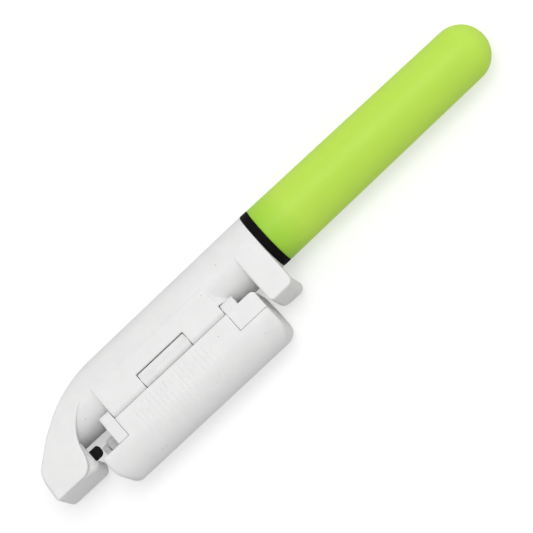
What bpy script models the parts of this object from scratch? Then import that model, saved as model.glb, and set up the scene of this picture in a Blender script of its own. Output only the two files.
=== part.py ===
"""Clip-on light for the tip of a fishing rod.

A slim pin-type lithium cell and an LED plug into a white clip body that lies along the rod.
A sprung barrel-shaped clamp beside the body holds the rod against two fixed hooks.
The light lies on its back: +X points from the light towards the clamp, +Y along the
light towards its tip, and +Z out of the flat front face.

Every shape is drawn in millimetres around the light's own axis, with y = 0 on the
shoulder where the body meets the sealing ring, and is scaled to metres as it is made.
"""
import math

import bmesh
import bpy
from mathutils import Matrix, Vector

MM = 0.001

# Where the light's axis lies in the part's frame, whose origin is the middle of the
# bounding box at the level of the surface the light lies on.
AXIS_AT = (-4.225, 1.4, 4.5)

# Clip body
BODY_R_TOP = 4.5
BODY_R_LOW = 4.3
BODY_LOW_Y = -28.0
BODY_END_Y = -43.8
FACE_Z = 4.5                    # the flat front of strip, lug, hook and clamp
SIDE_X = 8.36                   # the outer side of the lug and of the hook
PLUG_BORE_R = 3.3
PLUG_BORE_Y = -5.0
CELL_BORE_R = 2.45
CELL_BORE_Y = -30.8

# Upper lug and lower hook, which the rod lies in
LUG_LOW_Y = -4.1
LUG_BACK_Z = -3.0
LUG_BACK_RADII = (2.2, 0.7)     # of the wall's back end, seen from the side: low, high
CHANNEL_X = 7.2                 # inner side of the outer wall
LUG_ROOF_Z = 2.9
HOOK_TOP_Y = -36.4
HOOK_LOW_Y = -44.0
HOOK_BACK_Z = -3.3
HOOK_ROOF_Z = 2.2
HOOK_BACK_RADII = (1.6, 2.0)
HOOK_PAD_TOP_Y = -35.2
LIP_Z = 3.9                     # underside of the body's lip over the hook
SLIT = 0.3

# Hinge
PIN_X, PIN_Z = 4.45, 3.7
PIN_R = 0.3
PIN_BORE_R = 0.34
PIN_Y = (-32.3, -7.8)
KNUCKLE_R = 0.8                 # the body's knuckles, flush with the front
EAR_R = 0.74                    # the clamp's ears and knuckle
STRIP_Y = (-30.55, -9.95)
RAMP_X = (-1.0, 3.6)            # the slope from the strip's upper end down to the tube
RAMP_LOW = (-7.7, 2.3)
RAMP_TOP_Z = 4.35
WINDOW_X = 2.84
WINDOW_Z = 2.77
WINDOW_Y = (-24.55, -15.9)
EAR_TOP_Y = (-9.88, -7.7)
EAR_LOW_Y = (-32.4, -30.62)
MIDDLE_KNUCKLE_Y = (-24.47, -16.0)
MIDDLE_ARM_RISE = -0.25         # so that the arm passes under the cover's front wall
FLAP_X, FLAP_Z = 2.96, (3.9, 4.2)   # the middle knuckle's flap, which fills the window
SPRING_Y = (-24.35, -22.15)
SPRING_WIRE = 0.2
SPRING_R = 0.43
SPRING_POCKET_R = 0.57
SPRING_TURNS = 6

# Clamp barrel
BARREL_X = 8.45
BARREL_R = 4.5
BARREL_Y = (-35.55, -5.0)
JAW_X = 5.31
COVER_WALL = 0.9
GAP = 0.08                      # between pieces that are pressed or glued together
STEP = 0.03                     # keeps two joined faces from lying in one plane
TAB_Y = (-9.8, -5.0)
TAB_LOW_Z = 3.2
JAW_WALL = 1.1
JAW_LOW_Z = -1.4
JAW_END_Y = -34.4
NOTCH_X = 8.0
NOTCH_Z = -2.0
LEDGE_Z = -0.6                  # the floor of the notch beside the lower hook's pad
LEDGE_THICK = 0.9

# Light unit
RING_TOP = 1.25
TUBE_R_BASE = 4.47
TUBE_R_TIP = 4.17
TUBE_FOOT = 1.3
TUBE_DOME_Y = 37.03
TUBE_WALL = 0.9
PLUG_R = 3.22
PLUG_FOOT = -4.35
LED_R = 1.5

# Cell
CELL_R = 2.1
CELL_Y = (-27.0, -4.9)
CELL_PIN_R = 0.3
CELL_PIN_TOP = -1.1

ROUND = 40                      # sides of a large turned piece
SMALL_ROUND = 20                # sides of a small one


# ---------------------------------------------------------------- outlines

def arc(cx, cy, radius, start, end, steps):
    """Points on an arc, angles in degrees."""
    points = []
    for i in range(steps + 1):
        a = math.radians(start + (end - start) * i / steps)
        points.append((cx + radius * math.cos(a), cy + radius * math.sin(a)))
    return points


def bezier(a, b, c, steps):
    """Points on a quadratic curve from a to c, pulled towards b."""
    points = []
    for i in range(steps + 1):
        t = i / steps
        s = 1 - t
        points.append((s * s * a[0] + 2 * s * t * b[0] + t * t * c[0],
                       s * s * a[1] + 2 * s * t * b[1] + t * t * c[1]))
    return points


def rectangle(x0, y0, x1, y1, radii=(0, 0, 0, 0), steps=5):
    """A rectangle with its own radius at each corner, from low-left anticlockwise."""
    corners = ((x0, y0, 1, 1, 180), (x1, y0, -1, 1, 270), (x1, y1, -1, -1, 0), (x0, y1, 1, -1, 90))
    points = []
    for (x, y, sx, sy, start), radius in zip(corners, radii):
        if radius:
            points += arc(x + sx * radius, y + sy * radius, radius, start, start + 90, steps)
        else:
            points.append((x, y))
    return points


# ---------------------------------------------------------------- making objects

def collection(name):
    made = bpy.data.collections.new(name)
    bpy.context.scene.collection.children.link(made)
    return made


def material(name, colour, roughness, metallic=0.0, transmission=0.0):
    made = bpy.data.materials.new(name)
    made.use_nodes = True
    shader = made.node_tree.nodes["Principled BSDF"]
    shader.inputs["Base Color"].default_value = (*colour, 1)
    shader.inputs["Roughness"].default_value = roughness
    shader.inputs["Metallic"].default_value = metallic
    shader.inputs["Transmission Weight"].default_value = transmission
    return made


def flat_curve(outline, thickness):
    """A filled 2D curve of this outline, as a closed mesh of that thickness about z = 0."""
    curve = bpy.data.curves.new("outline", "CURVE")
    curve.dimensions = "2D"
    curve.fill_mode = "BOTH"
    curve.extrude = thickness / 2 * MM
    spline = curve.splines.new("POLY")
    spline.points.add(len(outline) - 1)
    for point, (x, y) in zip(spline.points, outline):
        point.co = (x * MM, y * MM, 0, 1)
    spline.use_cyclic_u = True
    return mesh_of(curve)


def mesh_of(curve):
    """The closed mesh of a curve, its caps welded on, and the curve removed."""
    holder = bpy.data.objects.new("holder", curve)
    bpy.context.scene.collection.objects.link(holder)
    evaluated = holder.evaluated_get(bpy.context.evaluated_depsgraph_get())
    mesh = bpy.data.meshes.new_from_object(evaluated)
    bpy.data.objects.remove(holder)
    bpy.data.curves.remove(curve)
    bm = bmesh.new()
    bm.from_mesh(mesh)
    bmesh.ops.remove_doubles(bm, verts=bm.verts, dist=0.00001 * MM)
    bmesh.ops.recalc_face_normals(bm, faces=bm.faces)
    bm.to_mesh(mesh)
    bm.free()
    return mesh


def along_y(outline, y0, y1):
    """A prism along Y from an outline in X and Z."""
    mesh = flat_curve(outline, y1 - y0)
    stand = Matrix.Rotation(math.radians(90), 4, "X")
    mesh.transform(Matrix.Translation((0, (y0 + y1) / 2 * MM, 0)) @ stand)
    return mesh


def along_z(outline, z0, z1):
    """A prism along Z from an outline in X and Y."""
    mesh = flat_curve(outline, z1 - z0)
    mesh.transform(Matrix.Translation((0, 0, (z0 + z1) / 2 * MM)))
    return mesh


def along_x(outline, x0, x1):
    """A prism along X from an outline in Y and Z."""
    mesh = along_y(outline, x0, x1)
    mesh.transform(Matrix.Rotation(math.radians(-90), 4, "Z"))
    mesh.transform(Matrix.Scale(-1, 4, (0, 1, 0)))
    mesh.flip_normals()
    return mesh


def box(x, y, z):
    """A box from its low and high value on each axis."""
    bm = bmesh.new()
    size = Vector((x[1] - x[0], y[1] - y[0], z[1] - z[0])) * MM
    middle = Vector((x[0] + x[1], y[0] + y[1], z[0] + z[1])) * MM / 2
    bmesh.ops.create_cube(bm, size=1, matrix=Matrix.Translation(middle) @ Matrix.Diagonal((*size, 1)))
    mesh = bpy.data.meshes.new("box")
    bm.to_mesh(mesh)
    bm.free()
    return mesh


def rod(radius, y0, y1, x=0.0, z=0.0, sides=SMALL_ROUND):
    """A plain round bar along Y."""
    bm = bmesh.new()
    turn = Matrix.Rotation(math.radians(-90), 4, "X")
    at = Matrix.Translation((x * MM, (y0 + y1) / 2 * MM, z * MM))
    bmesh.ops.create_cone(bm, cap_ends=True, segments=sides, radius1=radius * MM,
                          radius2=radius * MM, depth=(y1 - y0) * MM, matrix=at @ turn)
    mesh = bpy.data.meshes.new("rod")
    bm.to_mesh(mesh)
    bm.free()
    return mesh


def add(name, mesh, paint, parent, smooth=False):
    """An object in the part's collection, hung on its joint's empty."""
    made = bpy.data.objects.new(name, mesh)
    PART.objects.link(made)
    hang(made, parent)
    mesh.materials.clear()
    mesh.materials.append(paint)
    if smooth:
        mesh.shade_smooth()
        mesh.set_sharp_from_angle(angle=math.radians(35))
    return made


def hang(made, parent):
    """Parents an object to an empty so that its mesh stays in the light axis's frame."""
    made.parent = parent
    made.location = -Vector(parent["at_mm"]) * MM


def turned(name, profile, paint, parent, sides=ROUND, closed=False):
    """A profile of (radius, y) points, outer side from the tip down, turned about Y."""
    bm = bmesh.new()
    points = [bm.verts.new((radius * MM, 0, y * MM)) for radius, y in profile]
    pairs = list(zip(points, points[1:]))
    if closed:
        pairs.append((points[-1], points[0]))
    for pair in pairs:
        bm.edges.new(pair)
    mesh = bpy.data.meshes.new(name)
    bm.to_mesh(mesh)
    bm.free()
    made = add(name, mesh, paint, parent)
    made.rotation_euler = (math.radians(-90), 0, 0)
    screw = made.modifiers.new("turn", "SCREW")
    screw.steps = sides
    screw.render_steps = sides
    screw.use_merge_vertices = True
    screw.merge_threshold = 0.000001
    screw.use_smooth_shade = True
    return made


def wire(name, route, radius, paint, parent):
    """A round wire along a route of (x, y, z) points."""
    curve = bpy.data.curves.new(name, "CURVE")
    curve.dimensions = "3D"
    curve.bevel_depth = radius * MM
    curve.bevel_resolution = 2
    curve.use_fill_caps = True
    spline = curve.splines.new("POLY")
    spline.points.add(len(route) - 1)
    for point, (x, y, z) in zip(spline.points, route):
        point.co = (x * MM, y * MM, z * MM, 1)
    return add(name, mesh_of(curve), paint, parent, smooth=True)


def combine(target, operation, mesh):
    """A Boolean with a guide that stays hidden in its own collection."""
    guide = bpy.data.objects.new(f"{target.name}_{operation.lower()}", mesh)
    GUIDES.objects.link(guide)
    guide.parent = target.parent
    guide.location = target.location
    guide.hide_render = True
    guide.display_type = "WIRE"
    step = target.modifiers.new(operation.lower(), "BOOLEAN")
    step.operation = operation
    step.object = guide
    return guide


def join(target, mesh):
    combine(target, "UNION", mesh)


def cut(target, mesh):
    combine(target, "DIFFERENCE", mesh)


def keep_inside(target, mesh):
    combine(target, "INTERSECT", mesh)


def empty(name, at, parent=None):
    """An empty on a joint's axis, at a point in the light axis's frame."""
    made = bpy.data.objects.new(name, None)
    PART.objects.link(made)
    made["at_mm"] = at
    if parent:
        made.parent = parent
        made.location = Vector(at) * MM
    else:
        made.location = Vector(AXIS_AT) * MM
    return made


# ---------------------------------------------------------------- clip body

def lower_end_outline():
    """The body from the front: straight sides, and a lower end that sweeps to the hook."""
    sweep = bezier((-4.45, -27.5), (-3.6, -35.0), (3.4, -42.8), 10)
    toe = bezier((3.4, -42.8), (4.1, -43.45), (5.6, -43.6), 4)
    return [(10, 1), (-6, 1), (-6, -27.5)] + sweep + toe[1:] + [(SIDE_X, BODY_END_Y), (10, BODY_END_Y)]


def lip_outline():
    """The flat lip over the hook: its top edge rises in a curve to the tube's crown."""
    rise = bezier((-0.3, -31.8), (1.9, -36.2), (5.6, -36.8), 8)
    corner = bezier((5.6, -36.8), (8.2, -37.3), (SIDE_X, -39.1), 4)
    low = BODY_END_Y - 1
    return rise + corner[1:] + [(SIDE_X, low), (-3, low), (-3, -31.8)]


def lip_section():
    """The lip from its end: a thin plate whose left side runs down into the tube."""
    return [(-1.6, 4.0), (0.4, FACE_Z), (SIDE_X + 1, FACE_Z), (SIDE_X + 1, LIP_Z), (2, LIP_Z),
            (0, 1.8), (-1.6, 3.0)]


def strip_section():
    """The hinge strip: flat on top, rounded about the pin, and sunk into the tube."""
    knuckle = arc(PIN_X, PIN_Z, KNUCKLE_R, 90, -60, 10)
    return [(-1.6, 4.0), (0.4, FACE_Z)] + knuckle + [(4.0, 1.8), (0, 1.8), (-1.6, 3.0)]


def lug_section():
    """The upper lug: a flat plate with an outer wall that turns back round the rod."""
    return [(-0.8, FACE_Z - 0.12), (0.3, FACE_Z), (SIDE_X, FACE_Z), (SIDE_X, LUG_BACK_Z),
            (CHANNEL_X, LUG_BACK_Z), (CHANNEL_X, LUG_ROOF_Z), (3.2, LUG_ROOF_Z), (0, 1)]


def wall_side(low_y, high_y, back_z, radii):
    """A hook's outer wall from the side: its back end is rounded at both corners."""
    return rectangle(low_y, back_z, high_y, FACE_Z + 1, (*radii, 0, 0))


def make_clip_body(paint, parent):
    body = turned("clip_body", [(0, 0), (BODY_R_TOP, 0), (BODY_R_LOW, BODY_LOW_Y),
                                (BODY_R_LOW, BODY_END_Y - 2), (0, BODY_END_Y - 2)], paint, parent)
    lip = combine(body, "UNION", along_y(lip_section(), BODY_END_Y - 0.5, -31))
    keep_inside(lip, along_z(lip_outline(), -6, 6))
    join(body, along_y(strip_section(), *STRIP_Y))
    ramp = [(STRIP_Y[1] - 0.1, RAMP_LOW[1]), RAMP_LOW, (STRIP_Y[1], RAMP_TOP_Z), (STRIP_Y[1] - 0.1, RAMP_TOP_Z)]
    join(body, along_x(ramp, *RAMP_X))
    lug = combine(body, "UNION", along_y(lug_section(), LUG_LOW_Y - 0.5, -STEP))
    keep_inside(lug, along_z(rectangle(-2, LUG_LOW_Y, SIDE_X, 0, (0, 0.7, 1.0, 0)), -6, 6))
    keep_inside(lug, along_x(wall_side(LUG_LOW_Y - STEP, -STEP / 2, LUG_BACK_Z, LUG_BACK_RADII), -2, SIDE_X + 1))
    keep_inside(body, along_z(lower_end_outline(), -6, 6))
    cut(body, rod(PLUG_BORE_R, PLUG_BORE_Y, 1, sides=ROUND))
    cut(body, rod(CELL_BORE_R, CELL_BORE_Y, PLUG_BORE_Y + 1, sides=ROUND))
    cut(body, box((WINDOW_X, 6), WINDOW_Y, (WINDOW_Z, 6)))
    cut(body, rod(PIN_BORE_R, STRIP_Y[0] - 1, STRIP_Y[1] + 1, PIN_X, PIN_Z))
    return body


def make_hook_block(paint, parent):
    """The lower hook: a flange under the body's lip and a wall round the rod."""
    top = LIP_Z - SLIT
    saddle_r = BODY_R_TOP
    low_angle = math.degrees(math.asin(HOOK_ROOF_Z / saddle_r))
    high_angle = math.degrees(math.asin(top / saddle_r))
    saddle = arc(0, 0, saddle_r, high_angle, low_angle, 6)
    section = saddle + [(CHANNEL_X, HOOK_ROOF_Z), (CHANNEL_X, HOOK_BACK_Z),
                        (SIDE_X, HOOK_BACK_Z), (SIDE_X, top)]
    block = add("hook_block", along_y(section, HOOK_LOW_Y, HOOK_TOP_Y), paint, parent)
    plan = rectangle(2, HOOK_LOW_Y, SIDE_X, HOOK_TOP_Y, (0, 0.6, 1.3, 0))
    keep_inside(block, along_z(plan, -6, 6))
    side = wall_side(HOOK_LOW_Y, HOOK_TOP_Y, HOOK_BACK_Z, HOOK_BACK_RADII)
    keep_inside(block, along_x(side, 2, SIDE_X + 1))
    return block


def make_hook_pads(paint, parent):
    """Rubber pads that the rod is pressed against in the lug and in the hook."""
    upper = rectangle(4.9, LUG_LOW_Y + 0.3, 7.05, -0.3)
    add("upper_hook_pad", along_z(upper, 2.2, LUG_ROOF_Z - GAP), paint, parent)
    lower = rectangle(5.6, HOOK_LOW_Y + 0.3, 7.05, HOOK_PAD_TOP_Y, (0.2, 0.2, 0.7, 0.3))
    add("lower_hook_pad", along_z(lower, 0.9, HOOK_ROOF_Z - GAP), paint, parent)


# ---------------------------------------------------------------- hinge

def make_hinge_pin(paint, parent):
    add("hinge_pin", rod(PIN_R, *PIN_Y, PIN_X, PIN_Z, 16), paint, parent, smooth=True)


def make_torsion_spring(paint, parent):
    """A coil round the pin, one leg on the body's window floor, one under the clamp."""
    steps_a_turn = 14
    y0, y1 = SPRING_Y[0] + SPRING_WIRE / 2, SPRING_Y[1] - SPRING_WIRE / 2
    count = SPRING_TURNS * steps_a_turn
    coil = []
    for i in range(count + 1):
        turn = 2 * math.pi * i / steps_a_turn
        y = y0 + (y1 - y0) * i / count
        coil.append((PIN_X - SPRING_R * math.cos(turn), y, PIN_Z + SPRING_R * math.sin(turn)))
    body_leg = (PIN_X - SPRING_R, y0, WINDOW_Z + SPRING_WIRE / 2 + 0.05)
    wire("torsion_spring", [body_leg] + coil, SPRING_WIRE / 2, paint, parent)


# ---------------------------------------------------------------- clamp

def eye_section(arm_rise):
    """A round eye on the pin with an arm to the right, whose top is this far above the pin."""
    start = math.degrees(math.asin(arm_rise / EAR_R))
    arm = [(6.0, PIN_Z - EAR_R), (6.0, PIN_Z + arm_rise)]
    return arc(PIN_X, PIN_Z, EAR_R, start, 270, 14) + arm


def jaw_section(top):
    """The wall behind the jaw's pad, from its end."""
    left = JAW_X + STEP
    right = left + JAW_WALL
    return [(left, JAW_LOW_Z), (right, JAW_LOW_Z - 0.5), (right, top), (left, top)]


def make_clamp_lever(paint, parent):
    """The clamp's inner frame: jaw wall, top tab, bottom bar, and the hinge eyes."""
    jaw_y = (EAR_LOW_Y[0] + STEP, BARREL_Y[1] - COVER_WALL - GAP)
    lever = add("clamp_lever", along_y(jaw_section(3.5), *jaw_y), paint, parent)
    join(lever, along_y(jaw_section(LEDGE_Z - STEP), JAW_END_Y, EAR_LOW_Y[0] + 0.3))
    tab = rectangle(JAW_X, TAB_Y[0], SIDE_X, TAB_Y[1], (0, 0, 0, 0.7))
    join(lever, along_z(tab, TAB_LOW_Z, FACE_Z))
    join(lever, box((JAW_X, SIDE_X), EAR_LOW_Y, (TAB_LOW_Z, FACE_Z)))
    ledge_y = (JAW_END_Y + STEP, EAR_LOW_Y[0] + 0.5)
    join(lever, box((JAW_X + 0.2, NOTCH_X - 0.1), ledge_y, (LEDGE_Z - LEDGE_THICK, LEDGE_Z)))
    for low, high in (EAR_TOP_Y, EAR_LOW_Y):
        join(lever, along_y(eye_section(EAR_R), low + STEP, high - STEP))
    join(lever, along_y(eye_section(MIDDLE_ARM_RISE), *MIDDLE_KNUCKLE_Y))
    flap_y = (MIDDLE_KNUCKLE_Y[0] + STEP, MIDDLE_KNUCKLE_Y[1] - STEP)
    join(lever, box((FLAP_X, PIN_X), flap_y, FLAP_Z))
    cut(lever, rod(PIN_BORE_R, EAR_LOW_Y[0] - 1, EAR_TOP_Y[1] + 1, PIN_X, PIN_Z))
    pocket_y = (MIDDLE_KNUCKLE_Y[0] - 0.5, SPRING_Y[1] + GAP)
    cut(lever, rod(SPRING_POCKET_R, *pocket_y, PIN_X, PIN_Z))
    cut(lever, box((PIN_X - 1, PIN_X), pocket_y, (PIN_Z - 1, PIN_Z)))
    return lever


def barrel_section(radius, face, left, steps):
    """A barrel that is flat in front and cut off by the jaw's plane on the left."""
    end = -math.degrees(math.acos((left - BARREL_X) / radius))
    return [(left, face)] + arc(BARREL_X, 0, radius, 90, end, steps)


def make_lever_cover(paint, parent):
    """The barrel-shaped shell over the clamp, open towards the rod."""
    outer = barrel_section(BARREL_R, FACE_Z, JAW_X, 22)
    cover = add("lever_cover", along_y(outer, *BARREL_Y), paint, parent)
    right = BARREL_X + BARREL_R
    plan = rectangle(JAW_X - 1, BARREL_Y[0], right, BARREL_Y[1], (0, 2.6, 2.3, 0))
    keep_inside(cover, along_z(plan, -6, 6))
    inner_y = (BARREL_Y[0] + COVER_WALL, BARREL_Y[1] - COVER_WALL)
    inner = barrel_section(BARREL_R - COVER_WALL, FACE_Z - COVER_WALL, JAW_X - 0.4, 20)
    hollow = combine(cover, "DIFFERENCE", along_y(inner, *inner_y))
    inner_plan = rectangle(JAW_X - 2, inner_y[0], right - COVER_WALL, inner_y[1], (0, 1.7, 1.4, 0))
    keep_inside(hollow, along_z(inner_plan, -6, 6))
    slot_z = (TAB_LOW_Z - GAP, FACE_Z + 1)
    slot_x = (JAW_X - 1, SIDE_X + GAP)
    cut(cover, box(slot_x, (TAB_Y[0] - GAP, BARREL_Y[1] + 1), slot_z))
    cut(cover, box(slot_x, (BARREL_Y[0] - 1, EAR_LOW_Y[1] + GAP), slot_z))
    cut(cover, box((JAW_X - 1, NOTCH_X), (BARREL_Y[0] - 1, JAW_END_Y - GAP), (NOTCH_Z, FACE_Z + 1)))
    return cover


def make_jaw_pad(paint, parent):
    outline = rectangle(4.95, -1.2, JAW_X - 0.05, 1.9, (0.12, 0, 0, 0.12), 2)
    return add("jaw_pad", along_y(outline, -32.0, -7.4), paint, parent)


# ---------------------------------------------------------------- light unit

def make_light_tube(paint, parent):
    """A domed tube, open at its foot."""
    dome = arc(0, TUBE_DOME_Y, TUBE_R_TIP, 90, 0, 10)
    wall_r = TUBE_R_TIP - TUBE_WALL
    inside = arc(0, TUBE_DOME_Y, wall_r, 0, 90, 8)
    foot = [(TUBE_R_BASE, TUBE_FOOT), (TUBE_R_BASE - TUBE_WALL, TUBE_FOOT)]
    profile = [(0, TUBE_DOME_Y + TUBE_R_TIP)] + dome[1:] + foot + inside[:-1]
    profile.append((0, TUBE_DOME_Y + wall_r))
    return turned("light_tube", profile, paint, parent)


def make_sealing_ring(paint, parent):
    profile = [(3.4, RING_TOP), (BODY_R_TOP, RING_TOP), (BODY_R_TOP, 0.05), (3.4, 0.05)]
    return turned("sealing_ring", profile, paint, parent, closed=True)


def make_light_plug(paint, parent):
    """The plug between cell and light tube, with a groove for its O-ring."""
    profile = [(0.9, 4.6), (3.45, 4.6), (3.45, 1.9), (PLUG_R, 1.9), (PLUG_R, -2.2), (2.7, -2.2),
               (2.7, -3.0), (PLUG_R, -3.0), (PLUG_R, PLUG_FOOT), (0.9, PLUG_FOOT)]
    plug = turned("light_plug", profile, paint, parent, closed=True)
    cut(plug, box((1.98, 2.52), (-6, 6), (-0.6, 0.6)))
    return plug


def make_plug_o_ring(paint, parent):
    profile = arc(2.99, -2.6, 0.26, 90, -250, 8)
    return turned("plug_o_ring", profile, paint, parent, closed=True)


def make_led_lamp(paint, parent):
    """A 3 mm lamp: flange, straight body and domed lens."""
    lens = arc(0, 8.4, LED_R, 90, 0, 6)
    profile = [(0, 9.9)] + lens[1:] + [(LED_R, 5.8), (1.9, 5.8), (1.9, 4.9), (0, 4.9)]
    return turned("led_lamp", profile, paint, parent, SMALL_ROUND)


def make_led_leads(paint, parent):
    """The lamp's two legs: one to the socket on the axis, one to the side contact."""
    wire("led_lead_pin", [(0, 4.85, 0), (0, -0.45, 0)], 0.18, paint, parent)
    can_leg = [(1.2, 4.75, 0), (2.16, 4.75, 0), (2.16, -0.9, 0)]
    wire("led_lead_can", can_leg, 0.11, paint, parent)


def make_contacts(paint, parent):
    """The sleeve that grips the cell's pin and the leaf that touches its can."""
    sleeve = [(0.75, -0.6), (0.75, -3.9), (0.36, -3.9), (0.36, -0.6)]
    turned("pin_socket", sleeve, paint, parent, SMALL_ROUND, closed=True)
    leaf = rectangle(2.18, -7.3, 2.32, -1.1)
    add("side_contact", along_z(leaf, -0.45, 0.45), paint, parent)


# ---------------------------------------------------------------- cell

def make_cell(steel, black, parent):
    low, high = CELL_Y
    can = [(0, low + 0.3), (0, high), (CELL_R, high), (CELL_R, low + 0.3), (CELL_R - 0.3, low), (0, low)]
    turned("battery_can", can[1:], steel, parent, 28)
    gasket = [(0.36, high + 0.45), (1.5, high + 0.45), (1.5, high + 0.05), (0.36, high + 0.05)]
    turned("battery_gasket", gasket, black, parent, SMALL_ROUND, closed=True)
    add("battery_pin", rod(CELL_PIN_R, high + 0.03, CELL_PIN_TOP, sides=12), steel, parent, smooth=True)


# ---------------------------------------------------------------- assembly

for leftover in list(bpy.data.objects):
    bpy.data.objects.remove(leftover)

PART = collection("rod_tip_light")
GUIDES = collection("guides")

WHITE = material("white_plastic", (0.86, 0.86, 0.85), 0.42)
GREEN = material("green_tube", (0.52, 0.86, 0.08), 0.35, transmission=0.2)
RUBBER = material("black_rubber", (0.012, 0.012, 0.014), 0.55)
STEEL = material("bright_steel", (0.72, 0.72, 0.73), 0.28, 1.0)
BRASS = material("plated_brass", (0.85, 0.66, 0.32), 0.3, 1.0)
PLUG = material("plug_plastic", (0.75, 0.77, 0.74), 0.45)
CLEAR = material("lamp_epoxy", (0.9, 0.95, 0.85), 0.1, transmission=0.8)

light_axis = empty("light_axis", (0, 0, 0))
clamp_hinge = empty("clamp_hinge", (PIN_X, 0, PIN_Z), light_axis)
light_pull = empty("light_pull", (0, 0, 0), light_axis)
battery_pull = empty("battery_pull", (0, 0, 0), light_pull)

make_clip_body(WHITE, light_axis)
make_hook_block(WHITE, light_axis)
make_hook_pads(RUBBER, light_axis)
make_hinge_pin(STEEL, light_axis)
make_torsion_spring(STEEL, light_axis)

make_clamp_lever(WHITE, clamp_hinge)
make_lever_cover(WHITE, clamp_hinge)
make_jaw_pad(RUBBER, clamp_hinge)

make_light_tube(GREEN, light_pull)
make_sealing_ring(RUBBER, light_pull)
make_light_plug(PLUG, light_pull)
make_plug_o_ring(RUBBER, light_pull)
make_led_lamp(CLEAR, light_pull)
make_led_leads(STEEL, light_pull)
make_contacts(BRASS, light_pull)

make_cell(STEEL, RUBBER, battery_pull)
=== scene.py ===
"""Looks of the clip-on rod tip light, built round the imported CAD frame.

Every shape is drawn in millimetres around the light's own axis: +X towards the clamp, +Y towards
the tip, +Z out of the flat front, and y = 0 on the shoulder under the sealing ring. The moulded
plastic pieces are distance fields, negative inside, whose edges are rounded by the mould's radii.
"""

import math

import bmesh
import bpy
import numpy as np
import openvdb
from mathutils import Matrix, Vector


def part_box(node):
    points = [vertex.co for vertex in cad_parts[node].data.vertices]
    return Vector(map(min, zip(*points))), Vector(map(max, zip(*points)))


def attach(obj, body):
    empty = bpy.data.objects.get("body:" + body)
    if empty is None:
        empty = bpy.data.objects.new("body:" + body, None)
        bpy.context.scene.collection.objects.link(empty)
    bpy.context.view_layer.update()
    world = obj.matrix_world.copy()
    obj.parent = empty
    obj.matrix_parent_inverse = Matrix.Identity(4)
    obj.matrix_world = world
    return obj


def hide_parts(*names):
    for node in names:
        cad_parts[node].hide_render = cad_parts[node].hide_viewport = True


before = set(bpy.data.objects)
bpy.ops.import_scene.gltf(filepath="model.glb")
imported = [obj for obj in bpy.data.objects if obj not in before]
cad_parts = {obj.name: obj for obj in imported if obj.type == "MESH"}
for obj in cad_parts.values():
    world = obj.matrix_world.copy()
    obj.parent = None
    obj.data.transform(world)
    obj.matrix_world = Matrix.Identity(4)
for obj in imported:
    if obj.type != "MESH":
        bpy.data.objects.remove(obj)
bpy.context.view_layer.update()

MM = 0.001
RING_GAP = 0.05                 # between the body's shoulder and the sealing ring


# ---------------------------------------------------------------- places, from the frame

def axis_point():
    """The point of the light's axis at y = 0, in the frame."""
    low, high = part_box("light_tube")
    ring_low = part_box("sealing_ring")[0]
    return Vector(((low.x + high.x) / 2, ring_low.y - RING_GAP * MM, (low.z + high.z) / 2))


AXIS = axis_point()


def span(node):
    """A node's low and high corners in millimetres from the light's axis."""
    low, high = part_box(node)
    return (low - AXIS) / MM, (high - AXIS) / MM


BODY_LOW, BODY_HIGH = span("clip_body")
HOOK_LOW, HOOK_HIGH = span("hook_block")
COVER_LOW, COVER_HIGH = span("lever_cover")
LEVER_LOW, LEVER_HIGH = span("clamp_lever")
PIN_LOW, PIN_HIGH = span("hinge_pin")
TUBE_LOW, TUBE_HIGH = span("light_tube")

FACE_Z = BODY_HIGH.z            # the flat front of strip, lug, hook and clamp
SIDE_X = BODY_HIGH.x            # the outer side of the lug and of the hook
BODY_R = -BODY_LOW.z
BODY_R_LOW = BODY_R - 0.2
BODY_LOW_Y = -28.0
BODY_END_Y = BODY_LOW.y
PIN_X = (PIN_LOW.x + PIN_HIGH.x) / 2
PIN_Z = (PIN_LOW.z + PIN_HIGH.z) / 2

# Clip body
PLUG_BORE_R, PLUG_BORE_Y = 3.3, -5.0
CELL_BORE_R, CELL_BORE_Y = 2.45, -30.8
LUG_LOW_Y, LUG_BACK_Z, LUG_ROOF_Z = -4.1, -3.0, 2.9
LUG_PLAN_RADII, LUG_BACK_RADII = (0.7, 1.0), (2.2, 0.7)     # low, high
CHANNEL_X = 7.2                 # the inner side of the lug's and the hook's outer wall
HOOK_ROOF_Z = 2.2
HOOK_PLAN_RADII, HOOK_BACK_RADII = (0.6, 1.3), (1.6, 2.0)
HOOK_TRIM_Y = 0.25              # keeps the hook's foot inside the body's lower end
SLIT_GROOVE = 0.5               # how far the slit under the lip opens inwards
LIP_Z = 3.9
STRIP_Y = (-30.55, -9.95)
WINDOW_X, WINDOW_Z, WINDOW_Y = 2.84, 2.77, (-24.55, -15.9)
RAMP_X, RAMP_LOW, RAMP_TOP_Z = (-1.0, 3.6), (-7.7, 2.3), 4.35
KNUCKLE_R, EAR_R, PIN_BORE_R = 0.8, 0.74, 0.34

# Clamp
BARREL_R = COVER_HIGH.z
BARREL_X = COVER_HIGH.x - BARREL_R
BARREL_Y = (COVER_LOW.y, COVER_HIGH.y)
JAW_X = COVER_LOW.x
COVER_WALL = 0.9
GAP = 0.08                      # between pieces that are pressed or glued together
SEAM = 0.05                     # between pieces that are fitted side by side
STEP = 0.03                     # keeps two joined faces from lying in one plane
EAR_TOP_Y, EAR_LOW_Y = (-9.88, -7.7), (-32.4, -30.62)
FLAP_X, FLAP_Z = 2.96, (3.9, 4.2)
MIDDLE_KNUCKLE_Y = (-24.47, -16.0)
MIDDLE_ARM_RISE = -0.25         # so that the arm passes under the cover's front wall
SPRING_WIRE, SPRING_POCKET_R = 0.2, 0.57
SPRING_TURNS = 6
SPRING_START = -math.pi / 3     # turns the leg clear of the knuckle of an open clamp
TAB_Y = (-9.8, BARREL_Y[1])
TAB_LOW_Z = 3.2
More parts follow.
